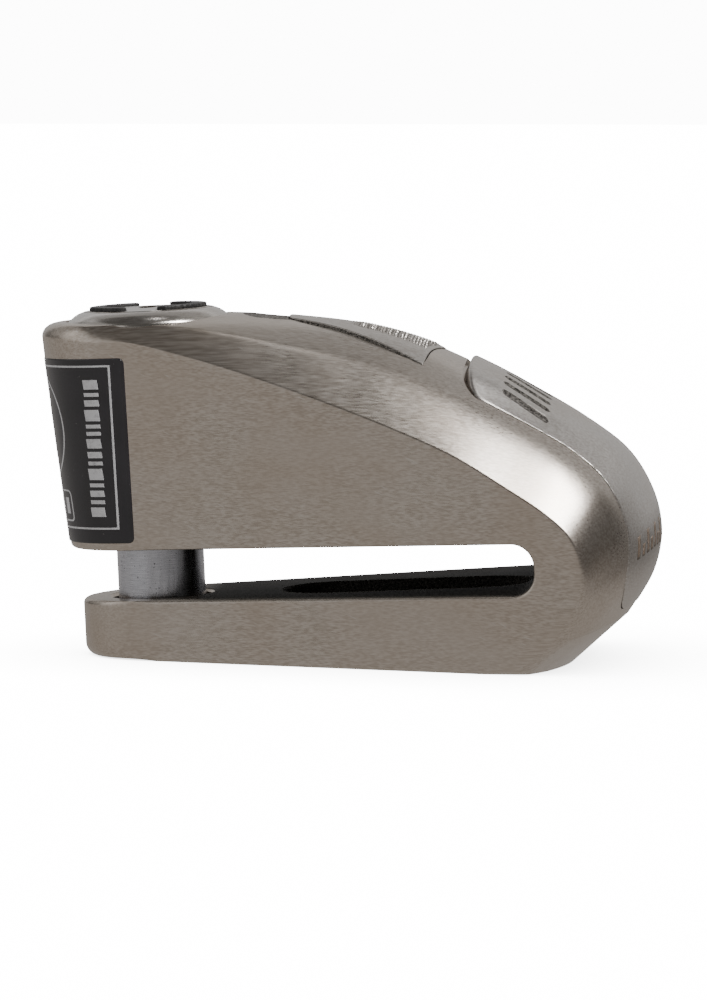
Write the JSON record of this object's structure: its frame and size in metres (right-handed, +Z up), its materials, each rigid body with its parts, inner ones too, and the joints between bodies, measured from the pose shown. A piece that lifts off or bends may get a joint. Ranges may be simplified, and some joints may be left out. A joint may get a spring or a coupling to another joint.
{
  "type": "disc brake lock",
  "caption": "Wedge-shaped steel motorcycle disc lock: a slotted jaw body with a round bolt across the slot, pushed home by a domed cap and freed by a key.",
  "frame": {"origin": "middle of the flat base, at the centre of the overall box", "axes": "+X towards the nose, away from the bolt; +Z up from the flat base; the slot runs along X"},
  "size_m": [0.0996, 0.0554, 0.0566],
  "materials": {
    "body_steel": "brushed along the length, satin",
    "plate_steel": "fine brushed, with engraved grip grooves",
    "grip_steel": "knurled, dark in the grooves",
    "cap_steel": "turned and polished",
    "bolt_steel": "ground, hard chromed satin",
    "inner_steel": "oiled, dark",
    "spring_steel": "drawn wire, oiled",
    "brass": "machined",
    "rubber": "matt",
    "black_plastic": "fine textured",
    "label_film": "satin printed film"
  },
  "bodies": {
    "housing": {"body": "body_steel", "nose_plate": "plate_steel", "grip_inlay": "grip_steel", "label": "label_film", "bolt_bush": "inner_steel", "stop_pin": "inner_steel"},
    "plunger": {"lock_cap": "cap_steel", "cylinder_barrel": "inner_steel", "barrel_seal": "rubber", "bolt": "bolt_steel", "bolt_screw": "inner_steel", "return_spring": "spring_steel"},
    "shutter": {"dust_shutter": "cap_steel", "shutter_grip_front": "black_plastic", "shutter_grip_rear": "black_plastic"},
    "key_drum": {"key_plug": "brass", "detainer_disc_1": "brass", "detainer_disc_2": "brass", "detainer_disc_3": "brass", "detainer_disc_4": "brass", "detainer_disc_5": "brass", "detainer_disc_6": "brass", "tail_cam": "inner_steel"},
    "sidebar": {"sidebar": "inner_steel"},
    "tongue": {"locking_tongue": "inner_steel"}
  },
  "joints": [
    {"name": "plunger_slide", "type": "slide", "parent": "housing", "child": "plunger", "axis": [-0.0464, 0, 0.9989], "range_m": [0, 0.014], "deforming": ["return_spring"]},
    {"name": "shutter_turn", "type": "hinge", "parent": "plunger", "child": "shutter", "pos_m": [-0.03258, 0, 0.0557], "axis": [-0.0464, 0, 0.9989], "range_deg": [0, 90]},
    {"name": "key_turn", "type": "hinge", "parent": "plunger", "child": "key_drum", "pos_m": [-0.03207, 0, 0.04471], "axis": [-0.0464, 0, 0.9989], "range_deg": [0, 90]},
    {"name": "sidebar_slide", "type": "slide", "parent": "key_drum", "child": "sidebar", "axis": [0, 1, 0], "range_m": [-0.00095, 0]},
    {"name": "tongue_slide", "type": "slide", "parent": "plunger", "child": "tongue", "axis": [0.9989, 0, 0.0464], "range_m": [-0.0023, 0]}
  ],
  "couplings": [
    {"joint": "sidebar_slide", "follows": "key_turn", "m_per_rad": -0.00057296},
    {"joint": "tongue_slide", "follows": "key_turn", "m_per_rad": -0.0014006}
  ]
}
